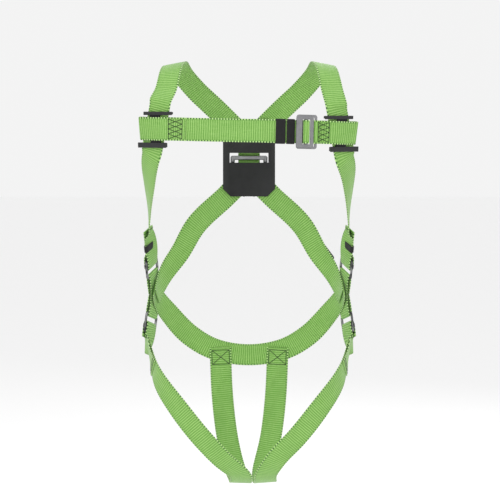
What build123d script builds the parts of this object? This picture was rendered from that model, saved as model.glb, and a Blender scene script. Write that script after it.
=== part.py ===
from build123d import *
import math
import os

import numpy as np

# Full-body climbing harness of sewn webbing, modelled in the shape it takes on a wearer.
# Millimetres. +X is the wearer's left, the front faces -Y, +Z is up. The straps are laid on an
# invisible body form whose origin is the lowest point of the crotch; the finished parts are moved
# so that the row's origin is the dorsal ring's pivot.

# ---------------------------------------------------------------- driving dimensions
WEB_WIDTH = 45.0
WEB_THICK = 1.7
HALF_WEB = WEB_THICK / 2
CLEAR = 0.3                  # gap between parts that move past each other
STEP = 11.0                  # spacing of the sections along a laid strap
FOLD_STEP_DEG = 30.0         # spacing of the sections round a fold

# height, half width and half depth of the body form
FORM = [
    (0, 194, 120), (230, 193, 120), (330, 188, 114), (420, 187, 109), (500, 192, 112),
    (560, 200, 117), (600, 209, 120), (650, 226, 122), (690, 240, 122), (760, 290, 122),
    (820, 330, 122),
]
FORM_POWER = 2.4             # squareness of the form's sections
CROTCH_HEIGHT = 150.0        # the form rounds in below this height
CROTCH_DROP = 160.0          # and ends this far below it
SHOULDER_HEIGHT = 660.0      # and above this one
SHOULDER_RISE = 181.0

CHEST_Z_RIGHT = 704.0        # the chest strap drops a little towards the wearer's left
CHEST_Z_LEFT = 696.0
CHEST_SPAN = 370.0           # between the two places where those heights are taken
BUCKLE_X = 106.0
GUIDE_X = {-1: 180.0, 1: 177.0}    # middle of each guide plate; the wearer isn't quite square
LOOP_END = {-1: 207.0, 1: 203.0}   # where the chest loops turn round the shoulder straps
CROTCH_OFFSET = 8.0          # the two leg straps meet this far to the wearer's left
HIP_Y = 40.0                 # the hip hardware sits just behind the widest line of the body
HIP_LEAN_DEG = 18.0          # both ends of the hip hardware lean forward from its middle
HIP_Z = 366.0
DORSAL_Z = 640.0

# heights of the layers above the form, each to the middle of the layer
BASE_LIFT = 1.2              # a strap that lies on the form
UNDER_LIFT = 3.6             # a shoulder strap where the chest loop passes behind it
FLAP_LIFT = 9.8              # the chest loop's front layer over the guide plate
SEWN_LIFT = 3.2              # the chest loop's front layer where it is sewn to the back layer

FRAME_THICK = 3.0            # steel buckle plates
BAR_TRAVEL = 3.0             # free travel of a hip friction bar
CHEST_BAR_TRAVEL = 1.5

GUIDE_WEB = (60.0, 22.0)     # guide plate's middle web, along and across the shoulder strap
GUIDE_BAR = 60.0             # length of its two bars
GUIDE_LEAN = 0.24            # the shoulder strap leans inward by this slope in the guide plate
GUIDE_LOW = UNDER_LIFT + HALF_WEB + 2 * CLEAR
RING_ROD = 9.0
RING_ARM = 34.0              # from the ring's middle to the middle of an arm
RING_LENGTH = 26.0           # from the pivot to where the eye's arch starts
RING_REST_DEG = 20.0         # the hanging ring stands this far off the back
DORSAL_PLATE = (160.0, 108.0, 2.5)
BRIDGE_SPOT = (59.0, 27.0)   # middle of a bridge that holds one arm of the crossing straps
CROSSING_GAP = 2.3           # from one crossing strap to the other
CROSSING_BEND = 20.0         # the straps turn to the diagonal over this length
PLATE_LAYER = CLEAR + DORSAL_PLATE[2] + CLEAR + HALF_WEB + 0.3

# chest buckle, along u from its middle and outward h
MALE_SIZE = (34.0, 61.0)
MALE_WINDOW = (-5.0, 10.5)
MALE_WINDOW_HALF = 23.8
FEMALE_SPAN = (-16.0, 24.5)
FEMALE_HALF = 33.0
FEMALE_BAR = (19.5, 24.5)    # the bar that the short strap is sewn round
CHEST_BAR = (-1.2, 5.8)
MAIN_LAYER = BASE_LIFT + WEB_THICK + 0.5
FEMALE_LEVEL = 6.4
MALE_LEVEL = 10.0
CHEST_EAR_LOW = 6.8          # the friction bar's ears lie behind the male plate
CHEST_BAR_HIGH = 12.2
RIDGE_LAYER = CHEST_BAR_HIGH + CLEAR + HALF_WEB
RISE_U = CHEST_BAR[0] - CLEAR - HALF_WEB
FALL_U = CHEST_BAR[1] + CHEST_BAR_TRAVEL + CLEAR + HALF_WEB
MAIN_STRAIGHT = 74.0         # the long strap is straight for this far before the buckle
TAIL_STRAIGHT = 70.0
CHEST_KEEPERS = {"chest_keeper_outer": (-56.0, -37.0), "chest_keeper_inner": (-34.5, -19.0)}


# ---------------------------------------------------------------- body form
def smooth(value, column):
    """Smooth interpolation of one column of the form at a height."""
    xs = np.array([row[0] for row in FORM], float)
    ys = np.array([row[column] for row in FORM], float)
    return hermite(value, xs, ys)


def hermite(value, xs, ys):
    value = min(max(value, xs[0]), xs[-1] - 1e-9)
    chord = np.diff(ys) / np.diff(xs)
    slope = np.concatenate([[chord[0]], (chord[1:] + chord[:-1]) / 2, [chord[-1]]])
    i = int(np.searchsorted(xs, value, side="right")) - 1
    h = xs[i + 1] - xs[i]
    t = (value - xs[i]) / h
    start = (1 + 2 * t) * (1 - t) ** 2 * ys[i] + t * (1 - t) ** 2 * h * slope[i]
    end = t * t * (3 - 2 * t) * ys[i + 1] + t * t * (t - 1) * h * slope[i + 1]
    return start + end


def form_level(p):
    """Below 0 inside the form, 0 on it, above 0 outside."""
    end = 0.0
    if p[2] < CROTCH_HEIGHT:
        end = (CROTCH_HEIGHT - p[2]) / CROTCH_DROP
    if p[2] > SHOULDER_HEIGHT:
        end = (p[2] - SHOULDER_HEIGHT) / SHOULDER_RISE
    side = abs(p[0] / smooth(p[2], 1)) ** FORM_POWER
    depth = abs(p[1] / smooth(p[2], 2)) ** FORM_POWER
    return (side + depth + end ** FORM_POWER) ** (1 / FORM_POWER) - 1


def form_gradient(p):
    rise = np.zeros(3)
    for i in range(3):
        shift = np.zeros(3)
        shift[i] = 0.5
        rise[i] = form_level(p + shift) - form_level(p - shift)
    return rise


def onto_form(point):
    """Nearest place on the form, and the outward direction there."""
    p = np.array(point, float)
    for _ in range(10):
        g = form_gradient(p)
        p = p - form_level(p) * g / (g @ g)
    g = form_gradient(p)
    return p, g / np.linalg.norm(g)


# ---------------------------------------------------------------- strap sections
# A strap is a list of sections. A section is its middle, its width direction and its outward
# direction, and the solid is lofted through the rectangles they give.
def unit(v):
    return v / np.linalg.norm(v)


def laid(route, step=STEP):
    """Sections of a strap laid on the form along (x, y, z, lift) rows."""
    rows = np.array(route, float)
    runs = np.linalg.norm(np.diff(rows[:, :3], axis=0), axis=1)
    stations = np.concatenate([[0], np.cumsum(runs)])
    count = max(3, int(round(stations[-1] / step)) + 1)
    middles = []
    outs = []
    for s in np.linspace(0, stations[-1], count):
        x, y, z, lift = [hermite(s, stations, rows[:, k]) for k in range(4)]
        p, n = onto_form((x, y, z))
        middles.append(p + n * lift)
        outs.append(n)
    middles = np.array(middles)
    along = np.gradient(middles, axis=0)
    sections = []
    for p, t, n in zip(middles, along, outs):
        width = unit(np.cross(t, n))
        sections.append((p, width, unit(np.cross(width, t))))
    return sections


class Site:
    """A flat working place: u along the strap, v across it, h outward.

    It lies on the form unless its outward direction is given.
    """

    def __init__(self, point, toward, out=None):
        self.origin, self.h = onto_form(point)
        if out is not None:
            self.origin, self.h = np.array(point, float), unit(np.array(out, float))
        self.v = unit(np.cross(self.h, np.array(toward, float)))
        self.u = np.cross(self.v, self.h)

    def at(self, u, v, h):
        return self.origin + self.u * u + self.v * v + self.h * h

    def place(self, solid):
        plane = Plane(origin=tuple(self.origin), x_dir=tuple(self.u), z_dir=tuple(self.h))
        return plane.location * solid

    def path(self, corners):
        """Sections along (u, h, radius) corners, each corner rounded by its radius."""
        points = []
        for i, (u, h, r) in enumerate(corners):
            here = np.array([u, h], float)
            if i in (0, len(corners) - 1):
                points.append(here)
                continue
            before = unit(np.array(corners[i - 1][:2], float) - here)
            after = unit(np.array(corners[i + 1][:2], float) - here)
            turn = math.pi - math.acos(float(np.clip(before @ after, -1, 1)))
            centre = here + unit(before + after) * r / math.cos(turn / 2)
            first = here + before * r * math.tan(turn / 2) - centre
            spin = math.copysign(1, before[1] * after[0] - before[0] * after[1])
            steps = max(2, int(math.degrees(turn) / FOLD_STEP_DEG + 0.99))
            for k in range(steps + 1):
                a = spin * turn * k / steps
                c, s = math.cos(a), math.sin(a)
                points.append(centre + [first[0] * c - first[1] * s, first[0] * s + first[1] * c])
        points = np.array(points)
        runs = np.diff(points, axis=0)
        runs /= np.linalg.norm(runs, axis=1)[:, None]
        sections = []
        for i, p in enumerate(points):
            t = unit(runs[max(i - 1, 0)] + runs[min(i, len(runs) - 1)])
            out = self.u * -t[1] + self.h * t[0]
            sections.append((self.at(p[0], 0, p[1]), -self.v, out))
        return sections


def strap(sections, width=WEB_WIDTH, thick=WEB_THICK):
    """One closed ribbon through its sections, as ruled faces between rectangles."""
    wires = []
    for middle, across, out in sections:
        w = across * width / 2
        t = out * thick / 2
        corners = [middle + w + t, middle - w + t, middle - w - t, middle + w - t]
        wires.append(Wire.make_polygon([Vector(*c) for c in corners], close=True))
    return Solid.make_loft(wires, ruled=True)


def fold(section, travel, radius):
    """Sections of a half turn outward from a section that is travelling along `travel`."""
    middle, across, out = section
    sections = []
    steps = int(180 / FOLD_STEP_DEG)
    for k in range(1, steps):
        a = math.pi * k / steps
        point = middle + out * radius * (1 - math.cos(a)) + travel * radius * math.sin(a)
        sections.append((point, across, out * math.cos(a) - travel * math.sin(a)))
    return sections


def flipped(sections):
    """The same run with its outward side turned under, as after a fold."""
    return [(p, -w, -n) for p, w, n in sections]


def backwards(sections):
    """The run travelled the other way, with its outward side turned under."""
    return [(p, w, -n) for p, w, n in sections[::-1]]


def row_above(point):
    """The route row of a point: its place and its lift above the form."""
    base, out = onto_form(point)
    return (*base, float((point - base) @ out))


# ---------------------------------------------------------------- places on the wearer
def chest_row(x, lift):
    """Route row on the front of the chest, along the chest strap's sloping line."""
    z = (CHEST_Z_RIGHT + CHEST_Z_LEFT) / 2 + x * (CHEST_Z_LEFT - CHEST_Z_RIGHT) / CHEST_SPAN
    y = -smooth(z, 2) * (1 - abs(x / smooth(z, 1)) ** FORM_POWER) ** (1 / FORM_POWER)
    return (x, y, z, lift)


def chest_site():
    slope = (CHEST_Z_LEFT - CHEST_Z_RIGHT) / CHEST_SPAN
    return Site(chest_row(BUCKLE_X, 0)[:3], (1, 0, slope))


def guide_site(side):
    """Middle of the guide plate on a shoulder strap, u up."""
    return Site(chest_row(side * GUIDE_X[side], 0)[:3], (0, 0, 1))


def hip_site(side, way):
    """The hip's upper half (way 1) or lower half (way -1), u up in both."""
    lean = math.radians(HIP_LEAN_DEG)
    return Site((side * 190, HIP_Y, HIP_Z), (0, -way * math.sin(lean), math.cos(lean)))


def dorsal_site():
    return Site((0, 120, DORSAL_Z), (0, 0, 1))


# ---------------------------------------------------------------- hip adjusters
# The side adjuster (above) and the leg buckle (below) are one design, mirrored along the strap.
# The hip strap is a closed loop from one fixed bar to the other, and each adjustable strap goes
# behind the frame, round the friction bar and back out over the end rail.
HIP_LEVEL = 11.5              # middle of the frames above the form
FIXED_BAR = (42.0, 47.0)     # start and end of the fixed bar along the strap, from the hip's middle
FRAME_END = 82.0
END_RAIL = 5.0
FRAME_WIDTH = 58.0
WINDOW_WIDTH = 47.0
BAR_SPOT = 70.0              # middle of the friction bar
BAR_WIDTH = 8.0
BACK_LAYER = HIP_LEVEL - FRAME_THICK / 2 - CLEAR - HALF_WEB
FRONT_LAYER = HIP_LEVEL + FRAME_THICK / 2 + CLEAR + HALF_WEB
BAR_LOW = BACK_LAYER + HALF_WEB + CLEAR
EAR_LOW = HIP_LEVEL + FRAME_THICK / 2 + CLEAR
BAR_HIGH = EAR_LOW + 1.5
TAIL_LAYER = BAR_HIGH + CLEAR + HALF_WEB
KEEPER_SPOT = 106.0
KEEPER_WIDTH = 14.0
KEEPER_TRAVEL = 8.0
KEEPER_WALL = 1.2
TAIL_REST = BACK_LAYER + WEB_THICK + 0.5   # the tail where it lies on its own strap


def box_between(u, v, h):
    """A box from its (low, high) pairs along u, v and h."""
    size = [b - a for a, b in (u, v, h)]
    middle = [(a + b) / 2 for a, b in (u, v, h)]
    return Pos(*middle) * Box(*size)


def adjuster_frame(way):
    low, high = sorted((way * FIXED_BAR[0], way * FRAME_END))
    half = FRAME_THICK / 2
    level = (HIP_LEVEL - half, HIP_LEVEL + half)
    plate = box_between((low, high), (-FRAME_WIDTH / 2, FRAME_WIDTH / 2), level)
    plate = fillet(plate.edges().filter_by(Axis.Z), 6)
    low, high = sorted((way * FIXED_BAR[1], way * (FRAME_END - END_RAIL)))
    window = box_between((low, high), (-WINDOW_WIDTH / 2, WINDOW_WIDTH / 2), (0, 20))
    plate = plate - window
    return fillet(plate.edges().filter_by(GeomType.LINE, reverse=True).filter_by(
        lambda e: e.center().Z > HIP_LEVEL), 0.8)


def friction_bar(way):
    u = (way * BAR_SPOT - BAR_WIDTH / 2, way * BAR_SPOT + BAR_WIDTH / 2)
    body_half = WINDOW_WIDTH / 2 - CLEAR
    body = box_between(u, (-body_half, body_half), (BAR_LOW, BAR_HIGH))
    body = fillet(body.edges().filter_by(Axis.Y), 1.2)
    ear_half = FRAME_WIDTH / 2 - 1
    ears = box_between(u, (-ear_half, ear_half), (EAR_LOW, BAR_HIGH))
    middle = box_between(u, (-WEB_WIDTH / 2, WEB_WIDTH / 2), (EAR_LOW, BAR_HIGH))
    return body + (ears - middle)


def adjuster_path(site, way, tail, straight):
    """Sections of a strap from `tail`, over the frame, round the friction bar and back behind."""
    radius = (TAIL_LAYER - BACK_LAYER) / 2
    turn = way * (BAR_SPOT - BAR_WIDTH / 2 - BAR_TRAVEL) - way * radius
    corners = tail + [
        (turn, TAIL_LAYER, radius * 0.999), (turn, BACK_LAYER, radius * 0.999),
        (way * straight, BACK_LAYER, 0),
    ]
    return site.path(corners)


def hip_loop(side):
    """The hip strap: one loop round both fixed bars, its ends meeting in the front layer."""
    radius = (FRONT_LAYER - BACK_LAYER) / 2 * 0.999
    reach = FIXED_BAR[1] + 1.0 + HALF_WEB
    near = 12
    upper = hip_site(side, 1).path([(near, FRONT_LAYER, 0), (reach, FRONT_LAYER, radius),
                                    (reach, BACK_LAYER, radius), (near, BACK_LAYER, 0)])
    lower = hip_site(side, -1).path([(-near, BACK_LAYER, 0), (-reach, BACK_LAYER, radius),
                                     (-reach, FRONT_LAYER, radius), (-near, FRONT_LAYER, 0)])
    return strap([seam_section(side, 0.3)] + upper + lower + [seam_section(side, -0.3)])


def seam_section(side, u):
    """Front-layer section at the middle of the hip, where the loop's ends meet."""
    upper = hip_site(side, 1)
    lower = hip_site(side, -1)
    across = unit(upper.v + lower.v)
    up = unit(upper.u + lower.u)
    middle = upper.origin + up * u + upper.h * FRONT_LAYER
    return (middle, -across, upper.h)


def keeper(u, low, high):
    """An elastic band across the strap at u, round layers that fill low to high."""
    inner_half = WEB_WIDTH / 2 + CLEAR + 0.1
    low = low - CLEAR - 0.1
    high = high + CLEAR + 0.1
    band = box_between(u, (-inner_half - KEEPER_WALL, inner_half + KEEPER_WALL),
                       (low - KEEPER_WALL, high + KEEPER_WALL))
    band = fillet(band.edges().filter_by(Axis.X), 1.0)
    return band - box_between((u[0] - 1, u[1] + 1), (-inner_half, inner_half), (low, high))


# ---------------------------------------------------------------- straps
RING_PIVOT = 2 * CLEAR + RING_ROD / 2
RING_OVER = RING_PIVOT + RING_ROD / 2 + CLEAR + HALF_WEB


def flat_run(site, rows):
    """Sections through (u, v, h) rows of a site, kept square to the site."""
    points = np.array(rows, float)
    along = np.gradient(points, axis=0)
    sections = []
    for (u, v, h), (du, dv, dh) in zip(points, along):
        travel = unit(site.u * du + site.v * dv + site.h * dh)
        width = unit(np.cross(travel, site.h))
        sections.append((site.at(u, v, h), width, np.cross(width, travel)))
    return sections


def back_crossing(side):
    """The strap over the back plate, from its shoulder down to the other hip.

    Both straps turn straight where they pass over the ring's bar, one above the other.
    """
    over = CROSSING_GAP if side > 0 else 0.0
    rows = []
    for u in (72, 60, 51, 42, 35, 28, 23, 17, 6, -6, -17, -23, -28, -35, -42, -51, -60, -72):
        away = max(0.0, abs(u) - 22)
        turned = min(away, CROSSING_BEND)
        v = turned ** 2 / (2 * CROSSING_BEND) + away - turned
        h = RING_OVER if abs(u) < 10 else PLATE_LAYER
        rows.append((u, side * math.copysign(v, u), h + over))
    return flat_run(dorsal_site(), rows)


def main_strap(side):
    """Side adjuster, up the flank, over the shoulder, across the back to the other hip."""
    hip = hip_site(side, 1)
    guide = guide_site(side)
    back = dorsal_site()
    straight = KEEPER_SPOT + KEEPER_WIDTH + KEEPER_TRAVEL
    tail = [(142, TAIL_REST, 0), (96, TAIL_REST, 12), (86, TAIL_LAYER, 12)]
    flank = laid([
        row_above(hip.at(straight + 11, 0, BACK_LAYER)), (side * 202, -22, 545, 3.0),
        (side * 198, -54, 600, BASE_LIFT), row_above(guide.at(-56, -side * 13.5, UNDER_LIFT)),
    ])
    chest = flat_run(guide, [(u, side * GUIDE_LEAN * u, UNDER_LIFT) for u in (-43, -20, 0, 20, 43)])
    shoulder = laid([
        row_above(guide.at(54, side * 13, UNDER_LIFT)), (side * 160, -82, 778, 1.8),
        (side * 152, -48, 816, BASE_LIFT), (side * 146, 8, 832, BASE_LIFT),
        (side * 134, 62, 806, BASE_LIFT), (side * 108, 94, 777, 1.8), (side * 80, 110, 751, 2.2),
        row_above(back.at(84, side * 52, PLATE_LAYER)),
    ])
    loin = laid([
        row_above(back.at(-84, -side * 52, PLATE_LAYER)), (-side * 112, 106, 500, 1.8),
        (-side * 146, 94, 448, BASE_LIFT), (-side * 180, 62, 402, BASE_LIFT),
        (-side * 193, 26, 362, BASE_LIFT),
    ])
    local = adjuster_path(hip, 1, tail, straight)
    return strap(local + flank + chest + shoulder + back_crossing(side) + loin)


def chest_strap_right():
    """Long part: loop round the right shoulder strap, across the chest, through the buckle."""
    flap = laid([chest_row(-LOOP_END[-1], FLAP_LIFT), chest_row(-186, FLAP_LIFT),
                 chest_row(-155, FLAP_LIFT), chest_row(-146, 5.2),
                 chest_row(-138, SEWN_LIFT), chest_row(-122, SEWN_LIFT)], 6)
    back = laid([chest_row(-LOOP_END[-1], BASE_LIFT), chest_row(-170, BASE_LIFT), chest_row(-122, BASE_LIFT),
                 chest_row(-70, 2.4), chest_row(-20, 4.6),
                 row_above(chest_site().at(-MAIN_STRAIGHT - 9, 0, MAIN_LAYER))])
    travel = unit(back[0][0] - back[1][0])
    turn = fold(back[0], travel, (FLAP_LIFT - BASE_LIFT) / 2)[::-1]
    through = chest_site().path([
        (-MAIN_STRAIGHT, MAIN_LAYER, 0), (RISE_U, MAIN_LAYER, 2.0), (RISE_U, RIDGE_LAYER, 2.4),
        (FALL_U, RIDGE_LAYER, 2.4), (FALL_U, BASE_LIFT, 1.2), (-TAIL_STRAIGHT, BASE_LIFT, 0)])
    return strap(backwards(flap) + turn + back + through)


def chest_strap_left():
    """Short part: sewn round the buckle frame's bar, and looped round the left shoulder strap."""
    back_h = FEMALE_LEVEL - FRAME_THICK / 2 - CLEAR - HALF_WEB
    front_h = FEMALE_LEVEL + FRAME_THICK / 2 + CLEAR + HALF_WEB
    radius = (front_h - back_h) / 2 * 0.999
    turn_u = FEMALE_BAR[0] - 1.0 - HALF_WEB
    end_u = FEMALE_BAR[1] + 1
    start = laid([chest_row(158, BASE_LIFT), chest_row(148, BASE_LIFT), chest_row(138, 2.6)], 5)
    wrap = chest_site().path([(end_u, back_h, 0), (turn_u, back_h, radius),
                              (turn_u, front_h, radius), (end_u, front_h, 0)])
    front = laid([chest_row(134.5, 5.6), chest_row(139, 3.6), chest_row(144, 5.4),
                  chest_row(152, FLAP_LIFT), chest_row(190, FLAP_LIFT), chest_row(LOOP_END[1], FLAP_LIFT)], 6)
    back = laid([chest_row(162, BASE_LIFT), chest_row(184, BASE_LIFT), chest_row(LOOP_END[1], BASE_LIFT)], 6)
    travel = unit(back[-1][0] - back[-2][0])
    turn = backwards(fold(back[-1], travel, (FLAP_LIFT - BASE_LIFT) / 2))
    return strap(flipped(start) + wrap + front + turn + backwards(back))


def leg_strap(side):
    """Sewn to the seat strap, between the legs, up the front to the leg buckle, and its tail."""
    straight = 94
    site = hip_site(side, -1)
    tail = laid([(side * 201, -40, 224, 3.2), (side * 206, -18, 243, 5.2),
                 (side * 207, -6, 262, 11), row_above(site.at(-100, 0, TAIL_LAYER + 1))])
    local = adjuster_path(site, -1, [(-92, TAIL_LAYER, 0)], straight)
    offset = CROTCH_OFFSET
    route = [
        row_above(site.at(-straight - 11, 0, BACK_LAYER)),
        (side * 206, -18, 243, 3.0),
        (side * 184, -60, 208, BASE_LIFT), (side * 142, -98, 156, BASE_LIFT),
        (side * 93, -106, 100, BASE_LIFT), (side * 54, -100, 57, BASE_LIFT),
        (offset + side * 26, -80, 20, BASE_LIFT), (offset + side * 25, -40, -5, BASE_LIFT),
        (offset / 2 + side * 24, 10, -10, BASE_LIFT), (side * 30, 60, 4, BASE_LIFT),
        (side * 46, 102, 66, BASE_LIFT), (side * 56, 117, 150, BASE_LIFT),
        (side * 60, 118, 244, BASE_LIFT),
    ]
    return strap(tail + local + flipped(laid(route)))


def seat_strap():
    """Under the seat from hip to hip, over the sewn ends of the leg straps."""
    half = [(193, 18, 382, 4.8), (188, 50, 352, 4.8), (166, 86, 316, 3.2), (124, 110, 272, 2.4),
            (70, 118, 240, 4.0)]
    middle = [(0, 118, 228, 3.6)]
    other = [(-x, y, z, lift) for x, y, z, lift in half[::-1]]
    return strap(laid(half + middle + other))


# ---------------------------------------------------------------- hardware
def plate_with_window(u, v_half, h, window_u, window_half, corner):
    plate = box_between(u, (-v_half, v_half), h)
    plate = fillet(plate.edges().filter_by(Axis.Z), corner)
    window = box_between(window_u, (-window_half, window_half), (h[0] - 1, h[1] + 1))
    window = fillet(window.edges().filter_by(Axis.Z), 1.5)
    plate = plate - window
    rims = plate.edges().filter_by_position(Axis.Z, h[1] - 0.01, h[1] + 0.01)
    return fillet(rims, 0.7)


def chest_buckle_plate():
    half = MALE_SIZE[0] / 2
    level = (MALE_LEVEL - FRAME_THICK / 2, MALE_LEVEL + FRAME_THICK / 2)
    return plate_with_window((-half, half), MALE_SIZE[1] / 2, level, MALE_WINDOW,
                             MALE_WINDOW_HALF, 5)


def chest_buckle_frame():
    level = (FEMALE_LEVEL - FRAME_THICK / 2, FEMALE_LEVEL + FRAME_THICK / 2)
    window = (FEMALE_SPAN[0] + 5, FEMALE_BAR[0])
    return plate_with_window(FEMALE_SPAN, FEMALE_HALF, level, window, FEMALE_HALF - 5, 5)


def chest_buckle_bar():
    body_half = MALE_WINDOW_HALF - CLEAR
    body = box_between(CHEST_BAR, (-body_half, body_half), (CHEST_EAR_LOW, CHEST_BAR_HIGH))
    body = fillet(body.edges().filter_by(Axis.Y), 1.2)
    ear_high = MALE_LEVEL - FRAME_THICK / 2 - CLEAR
    ears = box_between(CHEST_BAR, (-27, 27), (CHEST_EAR_LOW, ear_high))
    middle = box_between(CHEST_BAR, (-body_half + 1, body_half - 1), (CHEST_EAR_LOW, ear_high))
    return body + (ears - middle)


def guide_plate(side):
    """Moulded plate on the shoulder strap: a web behind the chest loop, a bar above and below."""
    web = box_between((-GUIDE_WEB[0] / 2, GUIDE_WEB[0] / 2), (-GUIDE_WEB[1] / 2, GUIDE_WEB[1] / 2),
                      (GUIDE_LOW, GUIDE_LOW + 2.0))
    plate = web
    half = GUIDE_BAR / 2
    for u in ((26.5, 33.0), (-37.0, -27.0)):
        v = side * GUIDE_LEAN * sum(u) / 2
        bar = box_between(u, (v - half, v + half), (GUIDE_LOW, GUIDE_LOW + 4.5))
        plate += fillet(bar.edges().filter_by(Axis.Y), 1.0)
        for edge in ((v - half, v + 2.5 - half), (v + half - 2.5, v + half)):
            plate += box_between((u[0] + 1, u[1] - 1), edge, (0.8, GUIDE_LOW + 1))
    return plate


def dorsal_plate():
    """Moulded back plate: a window for the ring's bar, and a bridge over each arm of the straps."""
    length, width, thick = DORSAL_PLATE
    low, high = CLEAR, CLEAR + thick
    plate = box_between((-length / 2, length / 2), (-width / 2, width / 2), (low, high))
    plate = chamfer(plate.edges().filter_by(Axis.Z), 16)
    plate -= box_between((-10, 10), (-40, 40), (low - 1, high + 1))
    under = PLATE_LAYER + CROSSING_GAP + HALF_WEB + CLEAR
    for up in (-1, 1):
        for across in (-1, 1):
            bridge = box_between((-4, 4), (-27.5, 27.5), (under, under + 2.2))
            bridge = fillet(bridge.edges().filter_by(Axis.Y).filter_by_position(
                Axis.Z, under + 2.1, under + 2.3), 1.0)
            for end in ((-27.5, -24.0), (24.0, 27.5)):
                bridge += box_between((-4, 4), end, (high - 0.5, under + 1))
            spot = Pos(up * BRIDGE_SPOT[0], across * BRIDGE_SPOT[1], 0)
            plate += spot * (Rot(0, 0, up * across * 45) * bridge)
    return plate


def dorsal_ring():
    """Forged D: a straight bar under the crossing straps, and an arched eye that hangs down."""
    rod = RING_ROD / 2
    arms = Line((0, RING_ARM), (-RING_LENGTH, RING_ARM))
    arch = ThreePointArc((-RING_LENGTH, RING_ARM), (-RING_LENGTH - RING_ARM, 0),
                         (-RING_LENGTH, -RING_ARM))
    back = Line((-RING_LENGTH, -RING_ARM), (0, -RING_ARM))
    path = arms + arch + back
    section = Plane(origin=(0, RING_ARM, 0), z_dir=(-1, 0, 0)) * Circle(rod)
    ring = sweep(section, path)
    ring += Rot(90, 0, 0) * Cylinder(rod, 2 * RING_ARM)
    for end in (-RING_ARM, RING_ARM):
        ring += Pos(0, end, 0) * Sphere(rod)
    return Pos(0, 0, RING_PIVOT) * (Rot(0, RING_REST_DEG, 0) * ring)


LABEL_SIZE = (50.0, 42.0)
LABEL_STAND = 2.4            # the flat sleeve clears the twist of the strap by this much


def label_site():
    """On the outer face of the strap that runs down to the wearer's left hip, u up along it."""
    site = Site((151, 89, 441), (-0.535, 0.42, 0.74))
    site.origin = site.at(0, 0, BASE_LIFT + HALF_WEB + LABEL_STAND)
    return site


def label_panel(level, thick, size):
    panel = box_between((-size[0] / 2, size[0] / 2), (-size[1] / 2, size[1] / 2),
                        (level, level + thick))
    return fillet(panel.edges().filter_by(Axis.Z), 3)


# ---------------------------------------------------------------- assembly
def build():
    parts = {
        "chest_strap_right": chest_strap_right(),
        "chest_strap_left": chest_strap_left(),
        "seat_strap": seat_strap(),
        "chest_buckle_plate": chest_site().place(chest_buckle_plate()),
        "chest_buckle_frame": chest_site().place(chest_buckle_frame()),
        "chest_buckle_bar": chest_site().place(chest_buckle_bar()),
        "dorsal_plate": dorsal_site().place(dorsal_plate()),
        "dorsal_ring": dorsal_site().place(dorsal_ring()),
        "label_sleeve": label_site().place(label_panel(0.0, 1.0, LABEL_SIZE)),
        "label_cover": label_site().place(label_panel(1.5, 0.8, (LABEL_SIZE[0] - 4, LABEL_SIZE[1]))),
    }
    for name, span in CHEST_KEEPERS.items():
        band = keeper(span, BASE_LIFT - HALF_WEB, MAIN_LAYER + HALF_WEB)
        parts[name] = chest_site().place(band)
    for name, side in (("left", 1), ("right", -1)):
        upper = hip_site(side, 1)
        lower = hip_site(side, -1)
        span = (KEEPER_SPOT - KEEPER_WIDTH / 2, KEEPER_SPOT + KEEPER_WIDTH / 2)
        parts["main_strap_" + name] = main_strap(side)
        parts["leg_strap_" + name] = leg_strap(side)
        parts["hip_strap_" + name] = hip_loop(side)
        parts["guide_plate_" + name] = guide_site(side).place(guide_plate(side))
        parts["side_adjuster_frame_" + name] = upper.place(adjuster_frame(1))
        parts["side_adjuster_bar_" + name] = upper.place(friction_bar(1))
        parts["leg_buckle_frame_" + name] = lower.place(adjuster_frame(-1))
        parts["leg_buckle_bar_" + name] = lower.place(friction_bar(-1))
        parts["side_keeper_" + name] = upper.place(
            keeper(span, BACK_LAYER - HALF_WEB, TAIL_REST + HALF_WEB))
    return parts


def main():
    os.makedirs("parts", exist_ok=True)
    pivot = dorsal_site().at(0, 0, RING_PIVOT)
    for name, solid in build().items():
        export_step(Pos(*(-pivot)) * solid, "parts/" + name + ".step")


if __name__ == "__main__":
    main()
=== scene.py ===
"""Full-body climbing harness: webbing, stitching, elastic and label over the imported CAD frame."""
import math

import bmesh
import bpy
import numpy as np
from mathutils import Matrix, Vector


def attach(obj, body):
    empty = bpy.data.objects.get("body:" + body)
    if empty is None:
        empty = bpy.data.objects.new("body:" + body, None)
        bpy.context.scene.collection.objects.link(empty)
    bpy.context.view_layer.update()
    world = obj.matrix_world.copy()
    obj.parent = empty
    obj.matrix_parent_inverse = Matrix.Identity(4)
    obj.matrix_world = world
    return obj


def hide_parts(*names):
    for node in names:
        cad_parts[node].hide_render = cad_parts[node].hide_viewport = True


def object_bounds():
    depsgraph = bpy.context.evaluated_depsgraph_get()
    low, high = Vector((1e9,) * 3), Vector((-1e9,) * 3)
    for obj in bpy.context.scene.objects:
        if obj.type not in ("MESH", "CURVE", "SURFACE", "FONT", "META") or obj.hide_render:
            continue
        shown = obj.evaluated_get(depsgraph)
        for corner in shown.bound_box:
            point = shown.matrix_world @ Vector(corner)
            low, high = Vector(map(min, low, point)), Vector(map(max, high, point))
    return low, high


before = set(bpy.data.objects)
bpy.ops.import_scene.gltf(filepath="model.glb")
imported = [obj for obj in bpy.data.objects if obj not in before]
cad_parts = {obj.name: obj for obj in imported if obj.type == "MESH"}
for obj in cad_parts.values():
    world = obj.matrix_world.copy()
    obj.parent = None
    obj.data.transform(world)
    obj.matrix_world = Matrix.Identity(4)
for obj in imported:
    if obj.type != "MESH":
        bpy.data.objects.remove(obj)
cad_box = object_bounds()

# The straps follow the same routes as in the CAD source. Routes and layers are in millimetres,
# with the origin about at the lowest point of the crotch, and in_row() turns them into the row's
# metres.
MM = 0.001

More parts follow.
